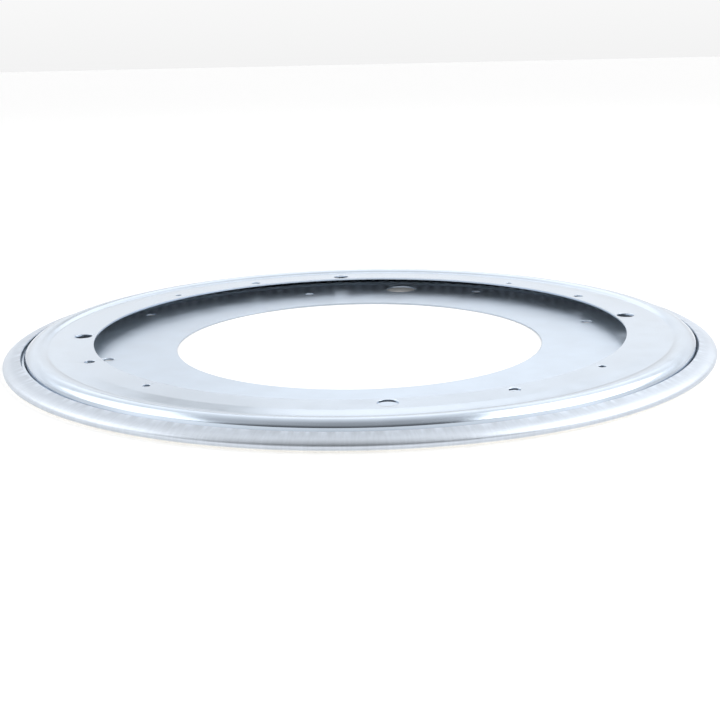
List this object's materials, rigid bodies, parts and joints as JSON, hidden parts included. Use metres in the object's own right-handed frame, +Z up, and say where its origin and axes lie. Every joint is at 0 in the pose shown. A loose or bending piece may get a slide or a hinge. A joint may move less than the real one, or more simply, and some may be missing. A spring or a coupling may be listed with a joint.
{
  "type": "turntable bearing ring",
  "caption": "Low round pressed-steel turntable bearing: a flat screw-down base ring hemmed over a top ring that turns on a row of balls.",
  "frame": {"origin": "centre of the base ring's flat underside, on the spin axis", "axes": "+Z up along the spin axis, from the base ring to the top ring; +X to the right and +Y away from a viewer who stands at the front"},
  "size_m": [0.3048, 0.3048, 0.0079],
  "materials": {
    "base_zinc": "bright zinc-plated sheet steel, satin",
    "top_zinc": "bright zinc-plated sheet steel, satin, with a drawn bead",
    "ball_steel": "ground and polished hardened steel"
  },
  "bodies": {
    "base": {"base_ring": "base_zinc"},
    "turntable": {"top_ring": "top_zinc"},
    "ball_row": {"ball_01": "ball_steel", "ball_02": "ball_steel", "ball_03": "ball_steel", "ball_04": "ball_steel", "ball_05": "ball_steel", "ball_06": "ball_steel", "ball_07": "ball_steel", "ball_08": "ball_steel", "ball_09": "ball_steel", "ball_10": "ball_steel", "ball_11": "ball_steel", "ball_12": "ball_steel", "ball_13": "ball_steel", "ball_14": "ball_steel", "ball_15": "ball_steel", "ball_16": "ball_steel", "ball_17": "ball_steel", "ball_18": "ball_steel", "ball_19": "ball_steel", "ball_20": "ball_steel", "ball_21": "ball_steel", "ball_22": "ball_steel", "ball_23": "ball_steel", "ball_24": "ball_steel", "ball_25": "ball_steel", "ball_26": "ball_steel", "ball_27": "ball_steel", "ball_28": "ball_steel", "ball_29": "ball_steel", "ball_30": "ball_steel", "ball_31": "ball_steel", "ball_32": "ball_steel", "ball_33": "ball_steel", "ball_34": "ball_steel"}
  },
  "joints": [
    {"name": "turntable_spin", "type": "hinge", "parent": "base", "child": "turntable", "pos_m": [0, 0, 0.00397], "axis": [0, 0, 1], "continuous": true},
    {"name": "ball_row_orbit", "type": "hinge", "parent": "base", "child": "ball_row", "pos_m": [0, 0, 0.00397], "axis": [0, 0, 1], "continuous": true}
  ],
  "couplings": [
    {"joint": "ball_row_orbit", "follows": "turntable_spin", "ratio": 0.5}
  ]
}
